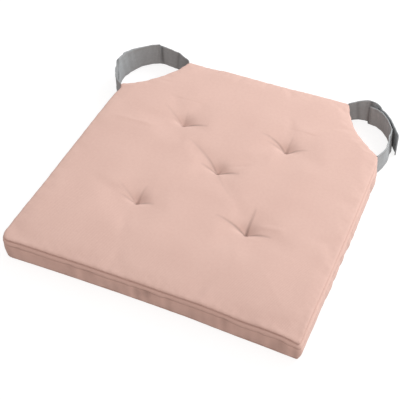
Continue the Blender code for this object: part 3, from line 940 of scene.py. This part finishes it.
def ribbon(name, half_name, course, offset, foot_height, size, hem, tip_rounding):
    """An upright ribbon along a course, offset outward, with rounded edges and thicker hems."""
    width, thickness = size
    foot, outward, lean, lift, shade, gone, travelled = course
    levels = 19
    v = (1 - np.cos(np.linspace(0, math.pi, levels))) / 2
    from_edge = np.minimum(v, 1 - v) * width
    half = thickness / 2 * (0.2 + 0.8 * quarter(from_edge / STRAP_EDGE))
    half = half + hem * ease(1.5 - from_edge / HEM_WIDTH)
    to_tip = travelled[-1] - travelled
    inset = tip_rounding * (1 - quarter(to_tip / max(tip_rounding, 1e-6)))
    z = foot_height + inset[:, None] + v[None, :] * (width - 2 * inset[:, None])
    share = (z - STRAP_FOOT) / STRAP_WIDTH
    creased, crease_shade = strap_creases(*half_name, gone[:, None], share)
    tilt = lean[:, None] * share + creased
    sides = []
    for sign in (1, -1):
        out = offset + tilt + sign * half[None, :]
        plan_points = foot[:, None, :] + outward[:, None, :] * out[..., None]
        sides.append(np.concatenate([plan_points, (z + lift[:, None])[..., None]], -1))
    stations = len(foot)
    ring_points = np.concatenate([sides[0], sides[1][:, ::-1]], axis=1)
    per_ring = 2 * levels
    index = np.arange(stations * per_ring).reshape(stations, per_ring)
    following = np.roll(index, -1, axis=1)
    tube = np.stack([index[:-1], following[:-1], following[1:], index[1:]], -1).reshape(-1, 4)
    caps = []
    for row in index[[0, -1]]:
        for j in range(levels - 1):
            caps.append((row[j], row[j + 1], row[per_ring - 2 - j], row[per_ring - 1 - j]))
    faces = tube.tolist() + [tuple(int(i) for i in cap) for cap in caps]
    cloth = np.zeros_like(ring_points)
    cloth[..., 0] = travelled[:, None]
    cloth[..., 1] = ring_points[..., 2]
    # Painted shade, on the inner face only
    dark = np.clip(shade[:, None] + crease_shade[:, ::-1], 0, 1)
    dark = np.concatenate([0 * dark, dark], axis=1)
    return new_object(name, ring_points.reshape(-1, 3), faces, cloth.reshape(-1, 3), dark)


def tube_faces(base, rings, around):
    """Faces of a closed tube whose points run ring by ring from index base."""
    faces = []
    for r in range(rings - 1):
        lower = base + r * around
        for k in range(around):
            k2 = (k + 1) % around
            faces.append((lower + k, lower + k2, lower + around + k2, lower + around + k))
    faces.append(tuple(base + k for k in range(around)))
    faces.append(tuple(base + (rings - 1) * around + k for k in reversed(range(around))))
    return faces


def stitches(name, rows):
    """One mesh of short rounded stitches along rows of points, each with its outward directions."""
    points = []
    faces = []
    ring_count = 5
    around = 6
    for path, normals in rows:
        lengths = np.linalg.norm(np.diff(path, axis=0), axis=1)
        gone = np.concatenate([[0], np.cumsum(lengths)])
        for start in np.arange(STITCH_PITCH / 2, gone[-1] - STITCH_LENGTH, STITCH_PITCH):
            at = start + np.linspace(0, STITCH_LENGTH, ring_count)
            centre = np.stack([np.interp(at, gone, path[:, k]) for k in range(3)], -1)
            normal = np.stack([np.interp(at, gone, normals[:, k]) for k in range(3)], -1)
            normal = normal / np.linalg.norm(normal, axis=1, keepdims=True)
            along = np.gradient(centre, axis=0)
            along = along / np.linalg.norm(along, axis=1, keepdims=True)
            aside = np.cross(along, normal)
            arch = np.sin(np.linspace(0, math.pi, ring_count))
            radius = THREAD_RADIUS * (0.45 + 0.55 * arch)
            centre = centre + normal * (THREAD_RADIUS * (0.7 * arch - 0.5))[:, None]
            base = len(points)
            for c, n, a, r in zip(centre, normal, aside, radius):
                for k in range(around):
                    angle = 2 * math.pi * k / around
                    points.append(c + (n * math.cos(angle) + a * math.sin(angle)) * r)
            faces += tube_faces(base, ring_count, around)
    points = np.array(points)
    return new_object(name, points, faces, points)


def strap_stitch_rows(course, side, end):
    """Two rows of stitches along each face of a strap and one across its tip."""
    foot, outward, lean, lift, _, gone, travelled = course
    kept = (travelled > 0.004) & (travelled < travelled[-1] - 0.0025)
    normals = np.concatenate([outward, np.zeros((len(outward), 1))], -1)
    rows = []
    for z in (STRAP_FOOT + SEAM_MARGIN, STRAP_FOOT + STRAP_WIDTH - SEAM_MARGIN):
        share = (z - STRAP_FOOT) / STRAP_WIDTH
        creased, _ = strap_creases(side, end, gone, share)
        for sign in (1, -1):
            out = lean * share + creased + sign * (STRAP_THICKNESS / 2 + 0.00012)
            path = np.concatenate([foot + outward * out[:, None], (z + lift)[:, None]], -1)
            rows.append((path[kept], sign * normals[kept]))
    tip = int(np.argmin(np.abs(travelled - (travelled[-1] - 0.004))))
    heights = np.linspace(STRAP_FOOT + 0.004, STRAP_FOOT + STRAP_WIDTH - 0.004, 12)
    for sign in (1, -1):
        out = lean[tip] * (heights - STRAP_FOOT) / STRAP_WIDTH + sign * (STRAP_THICKNESS / 2 + 0.00005)
        path = np.concatenate([foot[tip] + outward[tip] * out[:, None], (heights + lift[tip])[:, None]], -1)
        rows.append((path, np.tile(sign * normals[tip], (len(heights), 1))))
    return rows


def bend_with(piece):
    """Bakes a strap piece's transform into its mesh."""
    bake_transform(piece)


def make_strap(side, end, cloth_material, thread_material, tape_material):
    """One strap half with its stitching and the tape sewn on the face that meets the other half."""
    course = strap_course(side, end)
    length = HALVES[side, end][0]
    half_name = (side, end)
    size = (STRAP_WIDTH, STRAP_THICKNESS)
    name = f"{side}_{end}_strap"
    strap = ribbon(f"{name}_cloth", half_name, course, 0.0, STRAP_FOOT, size, HEM_THICKENING, TIP_ROUNDING)
    paint(strap, cloth_material)
    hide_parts(name)
    stitching = stitches(f"{name}_stitching", strap_stitch_rows(course, side, end))
    paint(stitching, thread_material)
    travelled = course[-1]
    total = loop_line(side)[1][-1]
    other_length = HALVES[side, "side" if end == "rear" else "rear"][0]
    first = total - other_length + TAPE_MARGIN
    last = length - TAPE_MARGIN - (CURL_RUN if HALVES[side, end][2] else 0)
    kept = (travelled >= first) & (travelled <= last)
    tape_course = tuple(part[kept] for part in course)
    inward = -1 if end == "rear" else 1
    offset = inward * (STRAP_THICKNESS / 2 + TAPE_THICKNESS / 2)
    kind = "hook_tape" if end == "rear" else "loop_tape"
    margin = (STRAP_WIDTH - TAPE_WIDTH) / 2
    size = (TAPE_WIDTH, TAPE_THICKNESS)
    tape_foot = STRAP_FOOT + margin
    tape = ribbon(f"{side}_{kind}_cloth", half_name, tape_course, offset, tape_foot, size, 0.0, 0.001)
    paint(tape, tape_material)
    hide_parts(f"{side}_{kind}")
    for piece in (strap, stitching, tape):
        bend_with(piece)


def make_tuft_stitch(name):
    """The doubled thread that shows as a short stitch in a tuft's pinch, above and below."""
    low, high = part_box(f"{name}_tuft_thread")
    tuft = TUFTS[name]
    pulled = float(tuft_relief(np.array(tuft.x), np.array(tuft.y), name))
    top = EDGE_TOP + CROWN - pulled
    under = UNDER_SHARE * pulled
    half = (high.x - low.x) / 2 * 0.6
    radius = TUFT_THREAD_RADIUS
    points = []
    faces = []
    around = 10
    rounds = 14
    for lift, strand in ((top, -1), (top, 1), (under, -1), (under, 1)):
        base = len(points)
        sign = 1 if lift == top else -1
        for r in range(rounds):
            share = r / (rounds - 1)
            x = tuft.x + half * (2 * share - 1)
            y = tuft.y + strand * radius * 0.95
            z = lift + sign * (radius * 1.6 * math.sin(math.pi * share) - radius * 0.6)
            size = radius * (0.5 + 0.5 * math.sin(math.pi * share) ** 0.5)
            for k in range(around):
                angle = 2 * math.pi * k / around
                ply = 1 + 0.10 * math.sin(3 * angle + 9 * share)
                points.append((x, y + size * ply * math.cos(angle), z + size * ply * math.sin(angle)))
        faces += tube_faces(base, rounds, around)
    return new_object(f"{name}_tuft_stitch", points, faces, points)


# ---- materials ----

# How much of the cloth's colour is left where the painted shade is full, as at the bottom of a tight crease
FOLD_SHADE = 0.42
WEAVE_HEIGHT = 0.0003
PORE_DEPTH = 0.0004


def principled(name, colour, roughness, sheen=0.0):
    """A material with its shader node, with the constant values set on the shader's own sockets."""
    made = bpy.data.materials.new(name)
    made.use_nodes = True
    tree = made.node_tree
    shader = tree.nodes["Principled BSDF"]
    shader.inputs["Base Color"].default_value = (*colour, 1)
    shader.inputs["Roughness"].default_value = roughness
    shader.inputs["Specular IOR Level"].default_value = 0.25
    shader.inputs["Sheen Weight"].default_value = sheen
    shader.inputs["Sheen Roughness"].default_value = 0.5
    return made, tree, shader


def math_node(tree, operation, first, second=None):
    """The outcome of a sum on one or two values, each a number or a node's output."""
    node = tree.nodes.new("ShaderNodeMath")
    node.operation = operation
    for socket, value in zip(node.inputs, (first, second)):
        if value is None:
            continue
        if isinstance(value, (int, float)):
            socket.default_value = value
        else:
            tree.links.new(value, socket)
    return node.outputs[0]


def mix_node(tree, factor, first, second):
    """A colour between first and second, each a colour or a node's output."""
    node = tree.nodes.new("ShaderNodeMix")
    node.data_type = "RGBA"
    tree.links.new(factor, node.inputs[0])
    for socket, colour in zip((node.inputs[6], node.inputs[7]), (first, second)):
        if isinstance(colour, tuple):
            socket.default_value = (*colour, 1)
        else:
            tree.links.new(colour, socket)
    return node.outputs[2]


def range_node(tree, value, low, high, to_low=0.0, to_high=1.0, kind="LINEAR"):
    """The value carried over from the range low to high to the range to_low to to_high."""
    node = tree.nodes.new("ShaderNodeMapRange")
    node.interpolation_type = kind
    node.inputs["From Min"].default_value = low
    node.inputs["From Max"].default_value = high
    node.inputs["To Min"].default_value = to_low
    node.inputs["To Max"].default_value = to_high
    tree.links.new(value, node.inputs["Value"])
    return node.outputs[0]


def noise_node(tree, place, scale, detail):
    """Soft noise over the cloth."""
    node = tree.nodes.new("ShaderNodeTexNoise")
    node.inputs["Scale"].default_value = scale
    node.inputs["Detail"].default_value = detail
    tree.links.new(place, node.inputs["Vector"])
    return node.outputs[0]


def bump_node(tree, height, distance, strength, shader):
    """Gives the shader a relief of the given height in metres."""
    node = tree.nodes.new("ShaderNodeBump")
    node.inputs["Strength"].default_value = strength
    node.inputs["Distance"].default_value = distance
    tree.links.new(height, node.inputs["Height"])
    tree.links.new(node.outputs[0], shader.inputs["Normal"])


def woven(name, colour, shade, pitch, bump, mottling, sheen=0.1, roughness=0.9):
    """Plain-weave cloth: crossed threads in the bump; uneven threads, soft mottling and painted shade in
    the colour.
    """
    made, tree, shader = principled(name, colour, roughness, sheen)
    place = tree.nodes.new("ShaderNodeAttribute")
    place.attribute_name = "cloth"
    split = tree.nodes.new("ShaderNodeSeparateXYZ")
    tree.links.new(place.outputs["Vector"], split.inputs[0])
    turn = math.pi / pitch
    warp = math_node(tree, "SINE", math_node(tree, "MULTIPLY", split.outputs[0], turn))
    weft = math_node(tree, "SINE", math_node(tree, "MULTIPLY", split.outputs[1], turn))
    weave = math_node(tree, "MULTIPLY", warp, weft)
    slub = noise_node(tree, place.outputs["Vector"], 260, 3)
    cloud = noise_node(tree, place.outputs["Vector"], 14, 4)
    half_slub = math_node(tree, "MULTIPLY", slub, 0.5)
    half_cloud = math_node(tree, "MULTIPLY", cloud, 0.5)
    mixed = math_node(tree, "ADD", half_slub, half_cloud)
    tone = range_node(tree, mixed, 0.35, 0.65, 0.0, mottling)
    tint = mix_node(tree, tone, colour, shade)
    # Painted shade: the colour is mixed towards the dark cloth colour by each point's painted shade
    painted_shade = tree.nodes.new("ShaderNodeAttribute")
    painted_shade.attribute_name = "painted_shade"
    deep = tuple(FOLD_SHADE * channel for channel in shade)
    tree.links.new(mix_node(tree, painted_shade.outputs["Fac"], tint, deep), shader.inputs["Base Color"])
    relief = math_node(tree, "ADD", weave, math_node(tree, "MULTIPLY", slub, 1.2))
    bump_node(tree, relief, WEAVE_HEIGHT, bump, shader)
    return made


def foam():
    """Open-cell foam: a fine pored surface, a little yellower in places."""
    made, tree, shader = principled("open_cell_foam", (0.82, 0.76, 0.60), 0.95)
    pores = tree.nodes.new("ShaderNodeTexVoronoi")
    pores.inputs["Scale"].default_value = 900
    place = tree.nodes.new("ShaderNodeTexCoord")
    tree.links.new(place.outputs["Object"], pores.inputs["Vector"])
    tint = mix_node(tree, pores.outputs["Distance"], (0.62, 0.55, 0.40), (0.86, 0.80, 0.64))
    tree.links.new(tint, shader.inputs["Base Color"])
    bump_node(tree, pores.outputs["Distance"], PORE_DEPTH, 1.0, shader)
    return made


def paint(piece, material):
    """Gives a piece its material."""
    piece.data.materials.clear()
    piece.data.materials.append(material)


def dress(piece, material, body="pad"):
    """Paints a piece that rides on one body."""
    paint(piece, material)
    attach(piece, body)


# ---- camera, floor and light ----


def make_camera():
    """Looks down on the pad from in front and to its right, through a long lens."""
    data = bpy.data.cameras.new("camera")
    data.lens = 88.4
    data.sensor_width = 36
    data.clip_start = 0.05
    azimuth = math.radians(24.81)
    elevation = math.radians(47.1)
    roll = math.radians(-1.3)
    distance = 1.2822
    target = Vector((-0.0083, -0.0186, 0.0))
    level = Vector((math.sin(azimuth), -math.cos(azimuth), 0.0))
    back = level * math.cos(elevation) + Vector((0.0, 0.0, math.sin(elevation)))
    turned = (-back).to_track_quat("-Z", "Y").to_matrix() @ Matrix.Rotation(roll, 3, "Z")
    camera = bpy.data.objects.new("camera", data)
    camera.matrix_world = Matrix.Translation(target + back * distance) @ turned.to_4x4()
    bpy.context.scene.collection.objects.link(camera)
    bpy.context.scene.camera = camera


def make_floor():
    """A wide pale floor that glows, so that it stays white and shadows on it stay faint."""
    mesh = bpy.data.meshes.new("floor")
    half = 6.0
    corners = [(-half, -half, 0), (half, -half, 0), (half, half, 0), (-half, half, 0)]
    mesh.from_pydata(corners, [], [(0, 1, 2, 3)])
    floor = bpy.data.objects.new("floor", mesh)
    bpy.context.scene.collection.objects.link(floor)
    material, _, shader = principled("floor_white", (0.25, 0.25, 0.25), 0.95)
    shader.inputs["Emission Color"].default_value = (1, 1, 1, 1)
    shader.inputs["Emission Strength"].default_value = 0.84
    mesh.materials.append(material)
    floor.visible_diffuse = False
    floor.visible_glossy = False


def make_world():
    """A soft surround, brightest above and to the right, and a little dimmer and warmer in front."""
    world = bpy.data.worlds.new("surround")
    world.use_nodes = True
    tree = world.node_tree
    direction = tree.nodes.new("ShaderNodeTexCoord")
    facing = tree.nodes.new("ShaderNodeVectorMath")
    facing.operation = "DOT_PRODUCT"
    facing.inputs[1].default_value = Vector((0.85, 0.0, 0.52)).normalized()
    tree.links.new(direction.outputs["Generated"], facing.inputs[0])
    strength = range_node(tree, facing.outputs["Value"], -1, 1, 0.27, 0.98, "SMOOTHSTEP")
    tree.links.new(strength, tree.nodes["Background"].inputs["Strength"])
    split = tree.nodes.new("ShaderNodeSeparateXYZ")
    tree.links.new(direction.outputs["Generated"], split.inputs[0])
    from_front = range_node(tree, split.outputs[1], -1, 0.6)
    tint = mix_node(tree, from_front, (0.86, 0.73, 0.68), (1.0, 1.0, 1.0))
    tree.links.new(tint, tree.nodes["Background"].inputs["Color"])
    bpy.context.scene.world = world


def make_lamp(name, energy, place):
    """A large soft lamp that shines on the pad from place."""
    data = bpy.data.lights.new(name, "AREA")
    data.shape = "DISK"
    data.size = 1.0
    data.energy = energy
    lamp = bpy.data.objects.new(name, data)
    lamp.matrix_world = Matrix.Translation(place) @ (-place).to_track_quat("-Z", "Y").to_matrix().to_4x4()
    bpy.context.scene.collection.objects.link(lamp)


make_camera()
make_floor()
make_world()
make_lamp("key_behind_right", 11.2, Vector((0.66, 1.10, 0.88)))
make_lamp("fill_left", 2.4, Vector((-1.70, 0.05, 0.55)))
make_lamp("low_right", 2.2, Vector((1.90, -0.10, 0.16)))
bpy.context.scene.view_settings.view_transform = "Standard"

PINK_CLOTH = woven("pink_cotton", (0.795, 0.560, 0.490), (0.735, 0.500, 0.436), 0.0011, 0.25, 0.6)
GREY_CLOTH = woven("grey_cotton", (0.472, 0.510, 0.528), (0.373, 0.401, 0.416), 0.0012, 0.5, 0.8)
HOOKS = woven("hook_nylon", (0.21, 0.203, 0.20), (0.16, 0.155, 0.152), 0.0016, 1.0, 0.7, 0.0, 0.6)
LOOPS = woven("loop_nylon", (0.39, 0.376, 0.371), (0.33, 0.318, 0.314), 0.0009, 0.8, 0.9, 0.3, 0.95)
GREY_THREAD = woven("grey_thread", (0.38, 0.366, 0.361), (0.32, 0.31, 0.305), 0.0004, 0.3, 0.6)
PINK_THREAD = woven("pink_thread", (0.66, 0.43, 0.365), (0.58, 0.37, 0.31), 0.0004, 0.3, 0.6)

quilted_top, quilted_underside = make_panels()
dress(quilted_top, PINK_CLOTH)
dress(quilted_underside, PINK_CLOTH)
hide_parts("top_panel", "top_wadding")
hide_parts("bottom_panel", "bottom_wadding")
for number, (band_name, band_line) in enumerate(band_lines().items()):
    band = make_band(band_name, band_line, SEED + 10 * number)
    dress(band, PINK_CLOTH)
    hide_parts(band_name)

for tuft_name in TUFTS:
    stitch = make_tuft_stitch(tuft_name)
    dress(stitch, PINK_THREAD)
    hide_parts(f"{tuft_name}_tuft_thread")
foam_block = make_foam()
dress(foam_block, foam())
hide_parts("foam_core")
for loop_side, half_end in HALVES:
    make_strap(loop_side, half_end, GREY_CLOTH, GREY_THREAD, HOOKS if half_end == "rear" else LOOPS)
